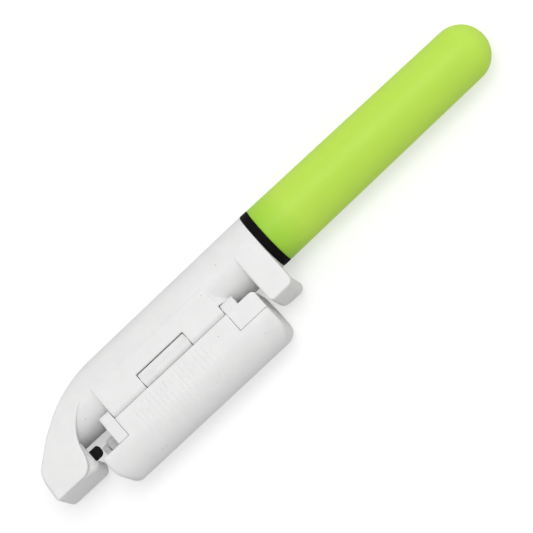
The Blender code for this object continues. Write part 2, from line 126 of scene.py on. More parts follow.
JAW_WALL, JAW_LOW_Z, JAW_END_Y = 1.1, -1.4, -34.4
NOTCH_X, NOTCH_Z, LEDGE_Z, LEDGE_THICK = 8.0, -2.0, -0.6, 0.9
COVER_PLAN_RADII, COVER_INNER_RADII = (2.6, 2.3), (1.7, 1.4)
PAD_RADII = {"upper_hook_pad": (0.12, 0.12, 0.12, 0.12), "lower_hook_pad": (0.2, 0.2, 0.7, 0.3)}
RIB_PITCH, RIB_DEPTH = 0.8, 0.06        # of the jaw pad's face

# Moulded marks on the barrel's front
MARKS_LOW, MARKS_HIGH = (6.0, -28.4), (11.4, -14.4)
MARK_ACROSS, MARK_ALONG = 0.62, 0.78    # spacing
MARK_DEPTH, MARK_HALF_WIDTH = 0.04, 0.06
MARKS_LEFT_OUT = 0.3
POINT_AT, POINT_R = (8.4, -13.7), 0.13

# Light unit
TUBE_TIP_R, TUBE_WALL, TUBE_EDGE_R = 4.17, 0.9, 0.18
RING_BORE_R = 3.4
PLUG_R, PLUG_HOLE_R, COLLAR_LOW_Y = 3.22, 0.9, 1.9
GROOVE_R, GROOVE_Y = 2.7, (-3.0, -2.2)
LEG_SLOT_X, LEG_SLOT_Z = (1.98, 2.52), (-0.6, 0.6)
LED_R, LED_FLANGE = 1.5, 0.9
PIN_LEG_Y, PIN_LEG_R = (4.85, -0.45), 0.18
CAN_LEG_X, CAN_LEG_Y, CAN_LEG_R = (1.2, 2.16), (4.75, -0.9), 0.11
PIN_HOLE_R = 0.36               # in the socket's sleeve and in the cell's gasket

# Cell
CRIMP_DEPTH = 0.12
CELL_EDGE = 0.3

# Stage, in metres and degrees
FLOOR_SIZE, FLOOR_SHADE, FLOOR_GLOW = 3, 0.62, 0.5
SKY_STRENGTH = 0.64
LIGHT_SIZE = 0.35
LIGHTS = (("key", (-0.08, 0.08, 0.60), 1.0), ("tip_side", (-0.12, 0.55, 0.25), 0.35))
CAMERA_TURN, CAMERA_RISE, CAMERA_ROLL = 16, 4.5, 43.11
CAMERA_DISTANCE, FRAME_WIDTH = 0.45, 0.07268
FRAME_SHIFT = (0.627, 3.395)    # of the picture's middle from the axis point, right and down, in mm

VOXEL = 0.08                    # spacing of a distance field's samples
PAST = 1                        # how far a cutter or a blank reaches past a face
WELD = 1e-4                     # points nearer than this are one
SHARP = math.radians(40)        # an edge steeper than this is not smoothed over
MIDDLE = (0.3, 0.7)             # the span that most of a noise's values lie in


# ---------------------------------------------------------------- outlines

def arc(cx, cy, radius, start, end, steps=12):
    """Points on an arc, angles in degrees."""
    points = []
    for i in range(steps + 1):
        a = math.radians(start + (end - start) * i / steps)
        points.append((cx + radius * math.cos(a), cy + radius * math.sin(a)))
    return points


def bezier(a, b, c, steps=24):
    """Points on a quadratic curve from a to c, pulled towards b."""
    points = []
    for i in range(steps + 1):
        t = i / steps
        s = 1 - t
        points.append((s * s * a[0] + 2 * s * t * b[0] + t * t * c[0],
                       s * s * a[1] + 2 * s * t * b[1] + t * t * c[1]))
    return points


def rectangle(x0, y0, x1, y1, radii=(0, 0, 0, 0)):
    """A rectangle with its own radius at each corner, from low-left anticlockwise."""
    corners = ((x0, y0, 1, 1, 180), (x1, y0, -1, 1, 270), (x1, y1, -1, -1, 0), (x0, y1, 1, -1, 90))
    points = []
    for (x, y, sx, sy, start), radius in zip(corners, radii):
        if radius:
            points += arc(x + sx * radius, y + sy * radius, radius, start, start + 90)
        else:
            points.append((x, y))
    return points


def eased(points, radius, closed=True):
    """An outline with its corners rounded, by less where a side is short."""
    flat, most_of_side = math.radians(150), 0.45
    made = []
    count = len(points)
    for i, here in enumerate(points):
        if not closed and i in (0, count - 1):
            made.append(here)
            continue
        at = Vector(here)
        back = Vector(points[i - 1]) - at
        ahead = Vector(points[(i + 1) % count]) - at
        angle = back.angle(ahead)
        if angle > flat:
            made.append(here)
            continue
        reach = min(radius / math.tan(angle / 2), most_of_side * back.length, most_of_side * ahead.length)
        start = at + back.normalized() * reach
        end = at + ahead.normalized() * reach
        made += bezier(tuple(start), here, tuple(end), 6)
    return made


# ---------------------------------------------------------------- distance fields

class Block:
    """Sample points over a box in millimetres, on which a solid's distance field is drawn."""

    def __init__(self, low, high, step=VOXEL):
        margin = 3 * step
        self.step = step
        self.origin = np.array(low) - margin
        sides = [np.arange(a - margin, b + 4 * step, step, dtype=np.float32) for a, b in zip(low, high)]
        self.x = sides[0][:, None, None]
        self.y = sides[1][None, :, None]
        self.z = sides[2][None, None, :]

    def bar(self, outline, y0, y1, edge=0.0):
        """A prism along Y from an outline in X and Z."""
        return meet(within(outline, self.x, self.z), between(self.y, y0, y1), edge)

    def plate(self, outline, z0, z1, edge=0.0):
        """A prism along Z from an outline in X and Y."""
        return meet(within(outline, self.x, self.y), between(self.z, z0, z1), edge)

    def side(self, outline, x0, x1, edge=0.0):
        """A prism along X from an outline in Y and Z."""
        return meet(within(outline, self.y, self.z), between(self.x, x0, x1), edge)

    def rod(self, radius, y0, y1, x=0.0, z=0.0):
        """A round bar along Y."""
        return meet(np.hypot(self.x - x, self.z - z) - radius, between(self.y, y0, y1))

    def box(self, x, y, z, edge=0.0):
        """A box from its low and high value on each axis."""
        flat = meet(between(self.x, *x), between(self.y, *y), edge)
        return meet(flat, between(self.z, *z), edge)


def within(outline, u, v):
    """Distance to a closed outline, negative inside it."""
    nearest = np.float32(1e6)
    inside = np.zeros(np.broadcast(u, v).shape, bool)
    for (u0, v0), (u1, v1) in zip(outline, outline[1:] + outline[:1]):
        along_u, along_v = u1 - u0, v1 - v0
        length = along_u ** 2 + along_v ** 2
        if length == 0:
            continue
        from_u, from_v = u - u0, v - v0
        t = np.clip((from_u * along_u + from_v * along_v) / length, 0, 1)
        nearest = np.minimum(nearest, (from_u - along_u * t) ** 2 + (from_v - along_v * t) ** 2)
        if along_v:
            crossed = (v0 > v) != (v1 > v)
            inside ^= crossed & (from_u < along_u * from_v / along_v)
    return np.where(inside, -1, 1).astype(np.float32) * np.sqrt(nearest).astype(np.float32)


def between(value, low, high):
    """Distance to a slab, negative inside it."""
    return np.maximum(low - value, value - high)


def meet(a, b, edge=0.0):
    """What two solids share, with the edge between their faces rounded to a radius."""
    if np.isscalar(edge) and edge == 0:
        return np.maximum(a, b)
    past = np.hypot(np.maximum(a + edge, 0), np.maximum(b + edge, 0))
    return np.minimum(np.maximum(a, b), -edge) + past


def join(a, b, fillet=0.0):
    """Both solids, with the inner corner between them filled to a radius."""
    return -meet(-a, -b, fillet)


def cut(a, b, edge=0.0):
    """The first solid without the second."""
    return meet(a, -b, edge)


# ---------------------------------------------------------------- meshes

def place(mesh):
    """A mesh drawn in millimetres from the light's axis, put into the frame."""
    mesh.transform(Matrix.Translation(AXIS) @ Matrix.Scale(MM, 4))


def finish_piece(made, paint, body, replaced):
    """Gives a piece its material, its body and the CAD node that it stands for."""
    made.data.materials.clear()
    made.data.materials.append(paint)
    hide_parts(*replaced)
    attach(made, body)
    return made


def link(name, data):
    """A new object in the scene's own collection."""
    made = bpy.data.objects.new(name, data)
    bpy.context.scene.collection.objects.link(made)
    return made


def moulded(name, field, block, most_faces=150_000):
    """A smooth mesh of a solid's surface, thinned to a number of faces."""
    grid = openvdb.FloatGrid(block.step)
    grid.copyFromArray(np.ascontiguousarray(field, dtype=np.float32))
    points, _, quads = grid.convertToPolygons()
    points = points * block.step + block.origin
    mesh = bpy.data.meshes.new(name)
    mesh.from_pydata(points, [], quads)
    place(mesh)
    made = link(name, mesh)
    triangles = 2 * len(quads)
    if triangles > most_faces:
        thin = made.modifiers.new("thin", "DECIMATE")
        thin.ratio = most_faces / triangles
        apply_modifiers(made)
    made.data.shade_smooth()
    return made


def apply_modifiers(made):
    """Puts a piece's modified mesh in place of its first one."""
    depsgraph = bpy.context.evaluated_depsgraph_get()
    mesh = bpy.data.meshes.new_from_object(made.evaluated_get(depsgraph))
    made.modifiers.clear()
    made.data = mesh


def turned(name, profile, sides=128, closed=True, x=0.0, z=0.0):
    """A profile of (radius, y) points turned about Y; an open one starts and ends on the axis."""
    bm = bmesh.new()
    points = [bm.verts.new((radius, y, 0)) for radius, y in profile]
    pairs = list(zip(points, points[1:]))
    if closed:
        pairs.append((points[-1], points[0]))
    edges = [bm.edges.new(pair) for pair in pairs]
    bmesh.ops.spin(bm, geom=points + edges, cent=(0, 0, 0), axis=(0, 1, 0),
                   angle=2 * math.pi, steps=sides, use_merge=True)
    bmesh.ops.remove_doubles(bm, verts=bm.verts, dist=WELD)
    bmesh.ops.recalc_face_normals(bm, faces=bm.faces)
    bmesh.ops.translate(bm, verts=bm.verts, vec=(x, 0, z))
    mesh = bpy.data.meshes.new(name)
    bm.to_mesh(mesh)
    bm.free()
    place(mesh)
    mesh.shade_smooth()
    mesh.set_sharp_from_angle(angle=SHARP)
    return link(name, mesh)


def wire(name, route, radius):
    """A round wire along a route of (x, y, z) points."""
    curve = bpy.data.curves.new(name, "CURVE")
    curve.dimensions = "3D"
    curve.bevel_depth = radius
    curve.bevel_resolution = 5
    curve.use_fill_caps = True
    spline = curve.splines.new("POLY")
    spline.points.add(len(route) - 1)
    for point, (x, y, z) in zip(spline.points, route):
        point.co = (x, y, z, 1)
    holder = link(name, curve)
    mesh = bpy.data.meshes.new_from_object(holder.evaluated_get(bpy.context.evaluated_depsgraph_get()))
    bpy.data.objects.remove(holder)
    bpy.data.curves.remove(curve)
    place(mesh)
    mesh.shade_smooth()
    mesh.set_sharp_from_angle(angle=SHARP)
    return link(name, mesh)


# ---------------------------------------------------------------- materials

class Paint:
    """A material's node tree, with textures that follow the object in millimetres."""

    def __init__(self, name, colour, roughness, metallic=0.0):
        self.material = bpy.data.materials.new(name)
        self.material.use_nodes = True
        self.tree = self.material.node_tree
        self.shader = self.tree.nodes["Principled BSDF"]
        self.set("Base Color", (*colour, 1))
        self.set("Roughness", roughness)
        self.set("Metallic", metallic)
        place_node = self.tree.nodes.new("ShaderNodeTexCoord")
        scale = self.tree.nodes.new("ShaderNodeVectorMath")
        scale.operation = "SCALE"
        scale.inputs["Scale"].default_value = 1 / MM
        self.link(place_node.outputs["Object"], scale.inputs[0])
        self.at = scale.outputs["Vector"]

    def set(self, socket, value):
        self.shader.inputs[socket].default_value = value

    def link(self, output, socket):
        self.tree.links.new(output, socket)

    def noise(self, scale, detail=2.0, stretch=None):
        """Noise of about this many features a millimetre."""
        node = self.tree.nodes.new("ShaderNodeTexNoise")
        node.inputs["Scale"].default_value = scale
        node.inputs["Detail"].default_value = detail
        at = self.at
        if stretch:
            mapping = self.tree.nodes.new("ShaderNodeMapping")
            mapping.inputs["Scale"].default_value = stretch
            self.link(at, mapping.inputs["Vector"])
            at = mapping.outputs["Vector"]
        self.link(at, node.inputs["Vector"])
        return node.outputs["Fac"]

    def ranged(self, value, low, high, to_low, to_high):
        """A value's span from low to high, stretched to another span."""
        node = self.tree.nodes.new("ShaderNodeMapRange")
        sockets = ("From Min", "From Max", "To Min", "To Max")
        for socket, number in zip(sockets, (low, high, to_low, to_high)):
            node.inputs[socket].default_value = number
        self.link(value, node.inputs["Value"])
        return node.outputs["Result"]

    def math(self, operation, a, b):
        """The result of an operation on two values, each a number or a node's output."""
        node = self.tree.nodes.new("ShaderNodeMath")
        node.operation = operation
        for value, socket in ((a, node.inputs[0]), (b, node.inputs[1])):
            if isinstance(value, (int, float)):
                socket.default_value = value
            else:
                self.link(value, socket)
        return node.outputs["Value"]

    def mixed(self, factor, a, b):
        """A colour between a and b, each a colour or another node's output."""
        node = self.tree.nodes.new("ShaderNodeMix")
        node.data_type = "RGBA"
        self.link(factor, node.inputs["Factor"])
        sockets = [s for s in node.inputs if s.type == "RGBA"]
        for value, socket in zip((a, b), sockets):
            if isinstance(value, tuple):
                socket.default_value = (*value, 1)
            else:
                self.link(value, socket)
        return next(s for s in node.outputs if s.type == "RGBA")

    def bump(self, height, strength, distance):
        """Relief from a height value, its depth in millimetres."""
        node = self.tree.nodes.new("ShaderNodeBump")
        node.inputs["Strength"].default_value = strength
        node.inputs["Distance"].default_value = distance * MM
        self.link(height, node.inputs["Height"])
        self.link(node.outputs["Normal"], self.shader.inputs["Normal"])

    def coloured(self, factor, a, b):
        """A base colour that runs between two colours."""
        self.link(self.mixed(factor, a, b), self.shader.inputs["Base Color"])

    def roughened(self, noise, low, high):
        """A roughness that follows a noise between two values."""
        self.link(self.ranged(noise, *MIDDLE, low, high), self.shader.inputs["Roughness"])

    def specks(self, spacing, size, share):
        """1 on sparse small dots: about one a cell of the spacing, kept where noise allows."""
        cells = self.tree.nodes.new("ShaderNodeTexVoronoi")
        cells.inputs["Scale"].default_value = 1 / spacing
        self.link(self.at, cells.inputs["Vector"])
        dot = self.ranged(cells.outputs["Distance"], size / spacing, 0.6 * size / spacing, 0, 1)
        kept = self.ranged(self.noise(0.35, 0), 1 - share, 1.02 - share, 0, 1)
        return self.math("MULTIPLY", dot, kept)


def white_plastic():
    """Glossy moulded ABS: faint flow marks, fine texture and a few specks of dirt."""
    paint = Paint("white_plastic", (0.88, 0.88, 0.875), 0.36)
    cloud = paint.ranged(paint.noise(0.5, 3), *MIDDLE, 0, 1)
    white = paint.mixed(cloud, (0.865, 0.866, 0.862), (0.90, 0.90, 0.895))
    dirt = paint.math("MULTIPLY", paint.specks(1.6, 0.1, 0.46), 0.55)
    paint.coloured(dirt, white, (0.22, 0.21, 0.2))
    paint.roughened(paint.noise(1.2, 4), 0.32, 0.42)
    paint.bump(paint.noise(7, 3), 0.12, 0.05)
    paint.set("Subsurface Weight", 0.12)
    paint.set("Subsurface Radius", (1.0, 0.95, 0.9))
    paint.set("Subsurface Scale", 0.6 * MM)
    paint.set("Specular IOR Level", 0.45)
    return paint.material


def green_tube():
    """Translucent fluorescent plastic with a faint painted glow, deeper green towards its foot."""
    paint = Paint("green_tube", (0.52, 0.83, 0.07), 0.3)
    split = paint.tree.nodes.new("ShaderNodeSeparateXYZ")
    paint.link(paint.at, split.inputs[0])
    foot = AXIS.y / MM + TUBE_LOW.y
    along = paint.ranged(split.outputs["Y"], foot, foot + 5, 0, 1)
    wavy = paint.math("ADD", along, paint.ranged(paint.noise(0.25, 2), 0, 1, -0.1, 0.1))
    colour = paint.mixed(wavy, (0.36, 0.68, 0.05), (0.53, 0.80, 0.09))
    paint.link(colour, paint.shader.inputs["Base Color"])
    # painted glow: the tube's green also goes into a faint emission, standing in for the light that its
    # fluorescent plastic gives off
    paint.link(colour, paint.shader.inputs["Emission Color"])
    paint.set("Emission Strength", 0.06)
    paint.roughened(paint.noise(0.8, 4), 0.42, 0.5)
    paint.bump(paint.noise(5, 3), 0.06, 0.05)
    paint.set("Subsurface Weight", 0.45)
    paint.set("Specular IOR Level", 0.3)
    paint.set("Subsurface Radius", (1.0, 1.3, 0.2))
    paint.set("Subsurface Scale", 1.5 * MM)
    return paint.material


def rubber(name, shade, roughness):
    """Matt black rubber, a little paler in patches and finely grained."""
    paint = Paint(name, (shade, shade, shade), roughness)
    grey = paint.ranged(paint.noise(1.5, 4), *MIDDLE, 0, 1)
    paint.coloured(grey, (0.7 * shade,) * 3, (1.6 * shade,) * 3)
    paint.roughened(paint.noise(3, 3), roughness - 0.06, roughness + 0.08)
    paint.bump(paint.noise(12, 3), 0.25, 0.04)
    paint.set("Specular IOR Level", 0.12)
    return paint.material


def metal(name, colour, roughness, stretch):
    """Drawn or pressed metal, its fine scratches stretched along one axis."""
    paint = Paint(name, colour, roughness, 1.0)
    lines = paint.noise(6, 3, stretch)
    paint.roughened(lines, roughness - 0.08, roughness + 0.12)
    dull = tuple(0.8 * c for c in colour)
    paint.coloured(paint.ranged(paint.noise(0.9, 4), 0.35, 0.75, 0, 1), colour, dull)
    paint.bump(lines, 0.15, 0.02)
    return paint.material


def plug_plastic():
    """Natural moulded plastic, faintly clouded."""
    paint = Paint("plug_plastic", (0.78, 0.8, 0.76), 0.42)
    cloud = paint.ranged(paint.noise(0.6, 3), *MIDDLE, 0, 1)
    paint.coloured(cloud, (0.74, 0.76, 0.72), (0.8, 0.82, 0.78))
    paint.roughened(paint.noise(2, 3), 0.38, 0.48)
    paint.bump(paint.noise(8, 3), 0.15, 0.04)
    paint.set("Subsurface Weight", 0.1)
    paint.set("Subsurface Scale", 0.5 * MM)
    return paint.material


def lamp_epoxy():
    """Clear cast epoxy with a green tint."""
    paint = Paint("lamp_epoxy", (0.86, 0.95, 0.8), 0.08)
    paint.set("Transmission Weight", 0.75)
    paint.set("IOR", 1.52)
    paint.roughened(paint.noise(2, 3), 0.05, 0.12)
    return paint.material


# ---------------------------------------------------------------- clip body

def lower_end_outline():
    """The body from the front: straight sides, and a lower end that sweeps to the hook."""
    sweep = bezier((-4.45, -27.5), (-3.6, -35.0), (3.4, -42.8), 40)
    toe = bezier((3.4, -42.8), (4.1, -43.45), (5.6, -43.6), 10)
    left, right, top = -7, SIDE_X + 2 * PAST, 2 * PAST
    corner = [(right, BODY_END_Y), (right, top)]
    return [(left, top), (left, -27.5)] + sweep + toe[1:] + [(SIDE_X, BODY_END_Y)] + corner


def lip_outline():
    """The flat lip over the hook: its top edge rises in a curve to the tube's crown."""
    rise = bezier((-0.3, -31.8), (1.9, -36.2), (5.6, -36.8))
    corner = bezier((5.6, -36.8), (8.2, -37.3), (SIDE_X, -39.1), 12)
    low = BODY_END_Y - PAST
    return rise + corner[1:] + [(SIDE_X, low), (-3, low), (-3, -31.8)]


def lip_section():
    """The lip from its end: a thin plate whose left side runs down into the tube."""
    right = SIDE_X + PAST
    return [(-1.6, 4.0), (0.4, FACE_Z), (right, FACE_Z), (right, LIP_Z), (2, LIP_Z), (0, 1.8), (-1.6, 3.0)]


def strip_section():
    """The hinge strip: flat on top, rounded about the pin, and sunk into the tube."""
    knuckle = arc(PIN_X, PIN_Z, KNUCKLE_R, 90, -60, 24)
    return [(-1.6, 4.0), (0.4, FACE_Z)] + knuckle + [(4.0, 1.8), (0, 1.8), (-1.6, 3.0)]


def lug_section():
    """The upper lug: a flat plate with an outer wall that turns back round the rod."""
    right = SIDE_X + PAST
    return [(-0.8, FACE_Z - 0.12), (0.3, FACE_Z), (right, FACE_Z), (right, LUG_BACK_Z),
            (CHANNEL_X, LUG_BACK_Z), (CHANNEL_X, LUG_ROOF_Z), (3.2, LUG_ROOF_Z), (0, 1)]


def wall_ends(block, x, y, z, plan_radii, back_radii):
    """The front and side outlines that round off a hook's outer wall."""
    plan = rectangle(x[0], y[0], x[1], y[1], (0, *plan_radii, 0))
    side = rectangle(y[0], z[0], y[1], z[1] + PAST, (*back_radii, 0, 0))
    return np.maximum(within(plan, block.x, block.y), within(side, block.y, block.z))


def make_lug(block):
    """The upper lug, which is part of the body."""
    ends = wall_ends(block, (-2, SIDE_X), (LUG_LOW_Y, -STEP), (LUG_BACK_Z, FACE_Z), LUG_PLAN_RADII,
                     LUG_BACK_RADII)
    return meet(within(eased(lug_section(), 0.2), block.x, block.z), ends, 0.25)


def make_clip_body(paint):
    """The tube with lip, hinge strip and lug, its lower end swept, and its bores cut."""
    block = Block(BODY_LOW, BODY_HIGH)
    radius = np.interp(block.y, (BODY_LOW_Y, 0), (BODY_R_LOW, BODY_R)).astype(np.float32)
    tube = meet(np.hypot(block.x, block.z) - radius, block.y, 0.06)
    lip = block.bar(lip_section(), BODY_END_Y - PAST, -31)
    body = join(tube, meet(lip, within(lip_outline(), block.x, block.y), 0.2))
    body = join(body, block.bar(eased(strip_section(), 0.1), *STRIP_Y, 0.1))
    ramp_foot = STRIP_Y[1] - 0.1
    ramp = [(ramp_foot, RAMP_LOW[1]), RAMP_LOW, (STRIP_Y[1], RAMP_TOP_Z), (ramp_foot, RAMP_TOP_Z)]
    body = join(body, block.side(ramp, *RAMP_X))
    body = join(body, make_lug(block))
    body = meet(body, within(lower_end_outline(), block.x, block.y), 0.3)
    body = cut(body, block.rod(PLUG_BORE_R, PLUG_BORE_Y, 2 * PAST), 0.12)
    body = cut(body, block.rod(CELL_BORE_R, CELL_BORE_Y, 2 * PAST))
    body = cut(body, block.box((WINDOW_X, 7), WINDOW_Y, (WINDOW_Z, 7), 0.1), 0.07)
    body = cut(body, block.rod(PIN_BORE_R, STRIP_Y[0] - PAST, STRIP_Y[1] + PAST, PIN_X, PIN_Z))
    made = moulded("clip_body_moulding", body, block)
    finish_piece(made, paint, "holder", ["clip_body"])


def make_hook_block(paint):
    """The lower hook: a flange under the body's lip and a wall round the rod."""
    block = Block(HOOK_LOW, HOOK_HIGH, 0.06)
    top, right = HOOK_HIGH.z, SIDE_X + PAST
    low_angle = math.degrees(math.asin(HOOK_ROOF_Z / BODY_R))
    high_angle = math.degrees(math.asin(top / BODY_R))
    saddle = arc(0, 0, BODY_R, high_angle, low_angle)
    wall = [(CHANNEL_X, HOOK_ROOF_Z), (CHANNEL_X, HOOK_LOW.z), (right, HOOK_LOW.z), (right, top)]
    ends = wall_ends(block, (2, SIDE_X), (HOOK_LOW.y, HOOK_HIGH.y), (HOOK_LOW.z, top), HOOK_PLAN_RADII,
                     HOOK_BACK_RADII)
    field = meet(within(saddle + wall, block.x, block.z), ends, 0.2)
    slope = (block.y - HOOK_HIGH.y) * 0.50 + (block.z - HOOK_ROOF_Z - 0.4) * 0.87
    field = meet(field, slope, 0.8)
    groove = (block.x - SIDE_X + SLIT_GROOVE) * 0.6 + (block.z - top) * 0.8
    field = meet(field, groove, 0.05)
    foot = within(lower_end_outline(), block.x, block.y + HOOK_TRIM_Y)
    field = np.maximum(field, foot + STEP)
    made = moulded("hook_block_moulding", field, block, 60_000)
    finish_piece(made, paint, "holder", ["hook_block"])


def make_pads(paint):
    """Rubber pads in lug, hook and jaw, each cut from a sheet with softened edges."""
    for node, radii in PAD_RADII.items():
        low, high = span(node)
        block = Block(low, high, 0.04)
        plan = rectangle(low.x, low.y, high.x, high.y, radii)
        made = moulded(f"{node}_rubber", block.plate(plan, low.z, high.z, 0.1), block, 30_000)
        finish_piece(made, paint, "holder", [node])
    low, high = span("jaw_pad")
    block = Block(low, high, 0.05)
    section = rectangle(low.x, low.z, high.x, high.z, (0.12, 0.05, 0.05, 0.12))
    ribs = RIB_DEPTH / 2 * (1 + np.cos(2 * math.pi * block.y / RIB_PITCH))
    field = block.bar(section, low.y, high.y, 0.08)
    field = meet(field, low.x + ribs - block.x, 0.05)
    made = moulded("jaw_pad_rubber", field, block, 60_000)
    finish_piece(made, paint, "clamp", ["jaw_pad"])


# ---------------------------------------------------------------- hinge

def make_hinge_pin(paint):
    """A plain steel pin with eased ends."""
    radius = (PIN_HIGH.x - PIN_LOW.x) / 2
    profile = [(0, PIN_HIGH.y), (radius, PIN_HIGH.y), (radius, PIN_LOW.y), (0, PIN_LOW.y)]
    made = turned("hinge_pin_steel", eased(profile, 0.08, closed=False), 48, False, PIN_X, PIN_Z)
    finish_piece(made, paint, "holder", ["hinge_pin"])


def make_torsion_spring(paint):
    """A coil round the pin, with one leg on the window's floor."""
    wire_r, steps_a_turn = SPRING_WIRE / 2, 32
    steps = SPRING_TURNS * steps_a_turn
    low, high = span("torsion_spring")
    mean_r = PIN_X - low.x - wire_r
    low_y, high_y = low.y + wire_r, high.y - wire_r
    coil = []
    for i in range(steps + 1):
        turn = SPRING_START + 2 * math.pi * i / steps_a_turn
        y = low_y + (high_y - low_y) * i / steps
        coil.append((PIN_X - mean_r * math.cos(turn), y, PIN_Z + mean_r * math.sin(turn)))
    leg = (coil[0][0], low_y, WINDOW_Z + wire_r + SEAM)
    made = wire("torsion_spring_wire", [leg] + coil, wire_r)
    finish_piece(made, paint, "holder", ["torsion_spring"])


# ---------------------------------------------------------------- clamp

def eye_section(arm_rise):
    """A round eye on the pin with an arm to the right, whose top is this far above the pin."""
    start = math.degrees(math.asin(arm_rise / EAR_R))
    arm = [(6.0, PIN_Z - EAR_R), (6.0, PIN_Z + arm_rise)]
    return arc(PIN_X, PIN_Z, EAR_R, start, 270, 30) + arm


def jaw_section(top):
    """The wall behind the jaw's pad, from its end."""
    left = JAW_X + STEP
    right = left + JAW_WALL
    return [(left, JAW_LOW_Z), (right, JAW_LOW_Z - 0.5), (right, top), (left, top)]


def make_clamp_lever(paint):
    """The clamp's inner frame: jaw wall, top tab, bottom bar, and the hinge eyes."""
    block = Block(LEVER_LOW, LEVER_HIGH)
    jaw_y = (EAR_LOW_Y[0] + STEP, BARREL_Y[1] - COVER_WALL - GAP)
    field = block.bar(jaw_section(3.5), *jaw_y, 0.12)
    field = join(field, block.bar(jaw_section(LEDGE_Z), JAW_END_Y, EAR_LOW_Y[0] + 0.3, 0.12))
    tab = rectangle(JAW_X, TAB_Y[0], SIDE_X, TAB_Y[1], (0.1, 0.08, 0.1, 0.65))
    field = join(field, block.plate(tab, TAB_LOW_Z, FACE_Z, 0.07))
    field = join(field, block.box((JAW_X, SIDE_X), EAR_LOW_Y, (TAB_LOW_Z, FACE_Z), 0.08))
    ledge_x, ledge_y = (JAW_X + 0.2, NOTCH_X - 0.1), (JAW_END_Y + STEP, EAR_LOW_Y[0] + 0.5)
    ledge = block.box(ledge_x, ledge_y, (LEDGE_Z - LEDGE_THICK, LEDGE_Z), 0.12)
    field = join(field, ledge, 0.1)
    for low, high in (EAR_TOP_Y, EAR_LOW_Y):
        field = join(field, block.bar(eye_section(EAR_R), low + STEP, high - STEP, 0.1))
    field = join(field, block.bar(eye_section(MIDDLE_ARM_RISE), *MIDDLE_KNUCKLE_Y, 0.1))
    flap = block.box((FLAP_X, PIN_X), MIDDLE_KNUCKLE_Y, FLAP_Z, 0.1)
    field = join(field, flap, 0.3)
    bore = block.rod(PIN_BORE_R, EAR_LOW_Y[0] - PAST, EAR_TOP_Y[1] + PAST, PIN_X, PIN_Z)
    field = cut(field, bore, 0.04)
    pocket_y = (MIDDLE_KNUCKLE_Y[0] - 0.5, span("torsion_spring")[1].y + GAP)
    field = cut(field, block.rod(SPRING_POCKET_R, *pocket_y, PIN_X, PIN_Z))
    field = cut(field, block.box((PIN_X - PAST, PIN_X), pocket_y, (PIN_Z - PAST, PIN_Z)))
    made = moulded("clamp_lever_moulding", field, block, 120_000)
    finish_piece(made, paint, "clamp", ["clamp_lever"])


def barrel_section(radius, face, left):
    """A barrel that is flat in front and cut off by the jaw's plane on the left."""
    end = -math.degrees(math.acos((left - BARREL_X) / radius))
    return [(left, face)] + arc(BARREL_X, 0, radius, 90, end, 60)


def scatter(a, b):
    """A fixed number from 0 to 1 for each pair of whole numbers."""
    return np.mod(np.sin(a * 12.9898 + b * 78.233) * 43758.5453, 1.0)


def grip_marks(block, barrel):
    """Uneven rows of fine dashes sunk into the barrel's front, and one moulding point."""
    from_left, from_low = block.x - MARKS_LOW[0], block.y - MARKS_LOW[1]
    column = np.floor(from_left / MARK_ACROSS)
    row = np.floor(from_low / MARK_ALONG)
    from_x = np.mod(from_left, MARK_ACROSS) - MARK_ACROSS / 2
    from_y = np.mod(from_low, MARK_ALONG) - MARK_ALONG / 2
    half = 0.1 + 0.16 * scatter(column, row)
    dash = np.maximum(np.abs(from_x) - half, np.abs(from_y) - MARK_HALF_WIDTH)
    dash = np.where(scatter(row, column + 7) > MARKS_LEFT_OUT, dash, 1.0)
    patch = np.maximum(between(block.x, MARKS_LOW[0], MARKS_HIGH[0]),
                       between(block.y, MARKS_LOW[1], MARKS_HIGH[1]))
    point = np.hypot(block.x - POINT_AT[0], block.y - POINT_AT[1]) - POINT_R
    marks = np.minimum(np.maximum(dash, patch), point)
    return np.maximum(np.maximum(marks, -barrel - MARK_DEPTH), -block.z).astype(np.float32)


def make_lever_cover(paint):
    """The barrel-shaped shell over the clamp, open towards the rod."""
    block = Block(COVER_LOW, COVER_HIGH)
    right = COVER_HIGH.x
    plan = rectangle(JAW_X - PAST, BARREL_Y[0], right, BARREL_Y[1], (0, *COVER_PLAN_RADII, 0))
    barrel = within(barrel_section(BARREL_R, FACE_Z, JAW_X - PAST), block.x, block.z)
    from_end = np.minimum(block.y - BARREL_Y[0], BARREL_Y[1] - block.y)
    edge = np.interp(from_end, (0.5, 1.8), (0.45, 0)).astype(np.float32)
    field = meet(barrel, within(plan, block.x, block.y), edge)
    field = cut(field, grip_marks(block, barrel))
    field = meet(field, JAW_X - block.x, 0.12)
    left, front, below = JAW_X - 2 * PAST, FACE_Z + 2 * PAST, BARREL_Y[0] - 2 * PAST
    inner_y = (BARREL_Y[0] + COVER_WALL, BARREL_Y[1] - COVER_WALL)
    inner_plan = rectangle(left, inner_y[0], right - COVER_WALL, inner_y[1], (0, *COVER_INNER_RADII, 0))
    inner_section = barrel_section(BARREL_R - COVER_WALL, FACE_Z - COVER_WALL, JAW_X - 0.4)
    inner = within(inner_section, block.x, block.z)
    field = cut(field, meet(inner, within(inner_plan, block.x, block.y), 0.3), 0.1)
    slot_x, slot_z = (left, SIDE_X + SEAM), (TAB_LOW_Z - GAP, front)
    field = cut(field, block.box(slot_x, (TAB_Y[0] - SEAM, BARREL_Y[1] + 2 * PAST), slot_z), 0.03)
    field = cut(field, block.box(slot_x, (EAR_LOW_Y[0] - 0.5, EAR_LOW_Y[1] + SEAM), slot_z), 0.03)
    field = cut(field, block.box(slot_x, (below, EAR_LOW_Y[0] + 0.1), slot_z), 0.06)
    field = cut(field, block.box((left, NOTCH_X), (below, JAW_END_Y - GAP), (NOTCH_Z, front)), 0.1)
    made = moulded("lever_cover_moulding", field, block)
    finish_piece(made, paint, "clamp", ["lever_cover"])


# ---------------------------------------------------------------- light unit

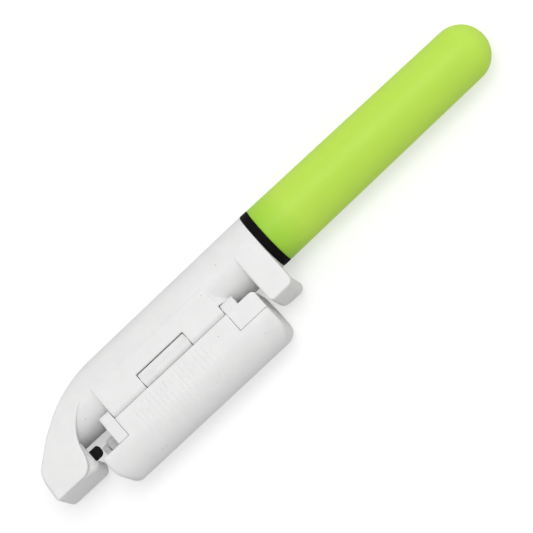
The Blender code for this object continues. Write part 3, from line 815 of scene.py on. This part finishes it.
def make_light_tube(paint):
    """A domed tube, open at its foot."""
    base_r, low_y = TUBE_HIGH.x, TUBE_LOW.y
    dome_y = TUBE_HIGH.y - TUBE_TIP_R
    dome = arc(0, dome_y, TUBE_TIP_R, 90, 0, 40)
    inside = arc(0, dome_y, TUBE_TIP_R - TUBE_WALL, 0, 90, 24)
    edge = ((base_r, low_y + TUBE_EDGE_R), (base_r, low_y), (base_r - TUBE_EDGE_R, low_y))
    foot = bezier(*edge, 6)
    sides = []
    for i in range(1, 12):
        radius = TUBE_TIP_R + (base_r - TUBE_TIP_R) * i / 12
        sides.append((radius, dome_y + (low_y + 0.2 - dome_y) * i / 12))
    profile = [(0, TUBE_HIGH.y)] + dome[1:] + sides + foot + [(base_r - TUBE_WALL, low_y)]
    profile += inside[:-1] + [(0, dome_y + TUBE_TIP_R - TUBE_WALL)]
    made = turned("light_tube_shell", profile, 160, closed=False)
    finish_piece(made, paint, "light", ["light_tube"])


def make_sealing_ring(paint):
    """The flat rubber ring between tube and body."""
    low, high = span("sealing_ring")
    section = [(RING_BORE_R, high.y), (high.x, high.y), (high.x, low.y), (RING_BORE_R, low.y)]
    profile = eased(section, 0.08)
    made = turned("sealing_ring_rubber", profile, 160)
    finish_piece(made, paint, "light", ["sealing_ring"])


def make_light_plug(paint):
    """The plug between cell and tube, with a groove for its O-ring and a slot for a leg."""
    low, high = span("light_plug")
    block = Block(low, high, 0.06)
    outline = [(PLUG_HOLE_R, high.y), (high.x, high.y), (high.x, COLLAR_LOW_Y), (PLUG_R, COLLAR_LOW_Y),
               (PLUG_R, GROOVE_Y[1]), (GROOVE_R, GROOVE_Y[1]), (GROOVE_R, GROOVE_Y[0]),
               (PLUG_R, GROOVE_Y[0]), (PLUG_R, low.y), (PLUG_HOLE_R, low.y)]
    field = within(eased(outline, 0.12), np.hypot(block.x, block.z), block.y)
    field = cut(field, block.box(LEG_SLOT_X, (-9, 9), LEG_SLOT_Z), 0.05)
    made = moulded("light_plug_moulding", field, block, 80_000)
    finish_piece(made, paint, "light", ["light_plug"])


def make_plug_o_ring(paint):
    """The O-ring in the plug's groove."""
    low, high = span("plug_o_ring")
    minor = (high.y - low.y) / 2
    centre = arc(high.x - minor, (low.y + high.y) / 2, minor, 0, 345, 23)
    made = turned("plug_o_ring_rubber", centre, 96)
    finish_piece(made, paint, "light", ["plug_o_ring"])


def make_led_lamp(paint):
    """A 3 mm lamp: flange, straight body and domed lens."""
    low, high = span("led_lamp")
    dome = arc(0, high.y - LED_R, LED_R, 90, 0, 16)
    flange = [(LED_R, low.y + LED_FLANGE), (high.x, low.y + LED_FLANGE), (high.x, low.y)]
    profile = [(0, high.y)] + dome[1:] + flange + [(0, low.y)]
    made = turned("led_lamp_lens", profile, 64, closed=False)
    finish_piece(made, paint, "light", ["led_lamp"])


def make_led_leads(paint):
    """The lamp's two legs: one to the socket on the axis, one to the side contact."""
    pin = wire("led_lead_pin_wire", [(0, y, 0) for y in PIN_LEG_Y], PIN_LEG_R)
    finish_piece(pin, paint, "light", ["led_lead_pin"])
    (start_x, down_x), (start_y, end_y) = CAN_LEG_X, CAN_LEG_Y
    bend = bezier((1.9, start_y), (down_x, start_y), (down_x, 4.5), 6)
    route = [(start_x, start_y, 0)] + [(x, y, 0) for x, y in bend] + [(down_x, end_y, 0)]
    can = wire("led_lead_can_wire", route, CAN_LEG_R)
    finish_piece(can, paint, "light", ["led_lead_can"])


def make_contacts(paint):
    """The sleeve that grips the cell's pin and the leaf that touches its can."""
    low, high = span("pin_socket")
    sleeve = [(high.x, high.y), (high.x, low.y), (PIN_HOLE_R, low.y), (PIN_HOLE_R, high.y)]
    socket = turned("pin_socket_sleeve", eased(sleeve, 0.06), 64)
    finish_piece(socket, paint, "light", ["pin_socket"])
    low, high = span("side_contact")
    block = Block(low, high, 0.03)
    leaf = block.side(rectangle(low.y, low.z, high.y, high.z, (0.2, 0, 0, 0.2)), low.x, high.x, 0.04)
    contact = moulded("side_contact_leaf", leaf, block, 20_000)
    finish_piece(contact, paint, "light", ["side_contact"])


# ---------------------------------------------------------------- cell

def make_cell(steel, black):
    """The cell: a crimped can, a gasket in its top and a pin on the axis."""
    low, high = span("battery_can")
    radius, neck_r = high.x, high.x - CRIMP_DEPTH
    crimp = [(radius, high.y - 1.1), (neck_r, high.y - 1.3), (neck_r, high.y - 1.5), (radius, high.y - 1.7)]
    foot = [(radius, low.y + CELL_EDGE), (radius - CELL_EDGE, low.y), (0, low.y)]
    can = [(0, high.y), (radius, high.y)] + crimp + foot
    made = turned("battery_can_shell", eased(can, 0.15, closed=False), 96, closed=False)
    finish_piece(made, steel, "battery", ["battery_can"])
    low, high = span("battery_gasket")
    ring = [(PIN_HOLE_R, high.y), (high.x, high.y), (high.x, low.y), (PIN_HOLE_R, low.y)]
    made = turned("battery_gasket_ring", eased(ring, 0.1), 64)
    finish_piece(made, black, "battery", ["battery_gasket"])
    low, high = span("battery_pin")
    tip = arc(0, high.y - high.x, high.x, 90, 0, 8)
    profile = [(0, high.y)] + tip[1:] + [(high.x, low.y), (0, low.y)]
    made = turned("battery_pin_tip", profile, 48, closed=False)
    finish_piece(made, steel, "battery", ["battery_pin"])


# ---------------------------------------------------------------- stage

def make_floor():
    """A pale floor whose glow only the camera sees, so that it doesn't light the object."""
    bpy.ops.mesh.primitive_plane_add(size=FLOOR_SIZE)
    floor = bpy.context.object
    floor.name = "floor"
    paint = bpy.data.materials.new("floor")
    paint.use_nodes = True
    shader = paint.node_tree.nodes["Principled BSDF"]
    shader.inputs["Base Color"].default_value = (FLOOR_SHADE, FLOOR_SHADE, FLOOR_SHADE, 1)
    shader.inputs["Roughness"].default_value = 0.9
    shader.inputs["Specular IOR Level"].default_value = 0.1
    shader.inputs["Emission Color"].default_value = (1, 1, 1, 1)
    tree = paint.node_tree
    seen = tree.nodes.new("ShaderNodeLightPath")
    glow = tree.nodes.new("ShaderNodeMath")
    glow.operation = "MULTIPLY"
    glow.inputs[1].default_value = FLOOR_GLOW
    tree.links.new(seen.outputs["Is Camera Ray"], glow.inputs[0])
    tree.links.new(glow.outputs["Value"], shader.inputs["Emission Strength"])
    floor.data.materials.append(paint)


def area_light(name, at, power):
    """A round soft light that points at the frame's origin."""
    light = bpy.data.lights.new(name, "AREA")
    light.shape = "DISK"
    light.size = LIGHT_SIZE
    light.energy = power
    made = link(name, light)
    made.location = at
    made.rotation_euler = (-Vector(at)).to_track_quat("-Z", "Y").to_euler()


def make_lights():
    """An even white sky, with two soft lights above and past the tip."""
    world = bpy.data.worlds.new("studio")
    world.use_nodes = True
    sky = world.node_tree.nodes["Background"]
    sky.inputs["Color"].default_value = (1, 1, 1, 1)
    sky.inputs["Strength"].default_value = SKY_STRENGTH
    bpy.context.scene.world = world
    for name, at, power in LIGHTS:
        area_light(name, at, power)


def make_camera():
    """The camera looks at the front from a little towards the clamp and the tip."""
    turn, rise, roll = (math.radians(a) for a in (CAMERA_TURN, CAMERA_RISE, CAMERA_ROLL))
    towards = Vector((math.sin(turn) * math.cos(rise), math.sin(rise), math.cos(turn) * math.cos(rise)))
    tip_way = Vector((0, 1, 0))
    tip_way = (tip_way - tip_way.dot(towards) * towards).normalized()
    clamp_way = tip_way.cross(towards)
    right = math.cos(roll) * tip_way + math.sin(roll) * clamp_way
    up = math.sin(roll) * tip_way - math.cos(roll) * clamp_way
    target = AXIS + FRAME_SHIFT[0] * MM * right - FRAME_SHIFT[1] * MM * up
    camera = bpy.data.cameras.new("camera")
    camera.lens = camera.sensor_width * CAMERA_DISTANCE / FRAME_WIDTH
    camera.clip_start = 0.01
    made = link("camera", camera)
    turned_to = Matrix((right, up, towards)).transposed().to_4x4()
    made.matrix_world = Matrix.Translation(target + CAMERA_DISTANCE * towards) @ turned_to
    bpy.context.scene.camera = made


# ---------------------------------------------------------------- assembly

WHITE = white_plastic()
GREEN = green_tube()
RING_RUBBER = rubber("ring_rubber", 0.002, 0.7)
PAD_RUBBER = rubber("pad_rubber", 0.006, 0.6)
STEEL = metal("spring_steel", (0.68, 0.68, 0.69), 0.26, (1, 0.15, 1))
CELL = metal("cell_nickel", (0.74, 0.72, 0.68), 0.3, (1, 0.1, 1))
BRASS = metal("brass", (0.82, 0.62, 0.3), 0.28, (1, 0.3, 1))

make_clip_body(WHITE)
make_hook_block(WHITE)
make_pads(PAD_RUBBER)
make_hinge_pin(STEEL)
make_torsion_spring(STEEL)
make_clamp_lever(WHITE)
make_lever_cover(WHITE)
make_light_tube(GREEN)
make_sealing_ring(RING_RUBBER)
make_light_plug(plug_plastic())
make_plug_o_ring(PAD_RUBBER)
make_led_lamp(lamp_epoxy())
make_led_leads(STEEL)
make_contacts(BRASS)
make_cell(CELL, PAD_RUBBER)

make_floor()
make_lights()
make_camera()
bpy.context.scene.view_settings.view_transform = "Standard"
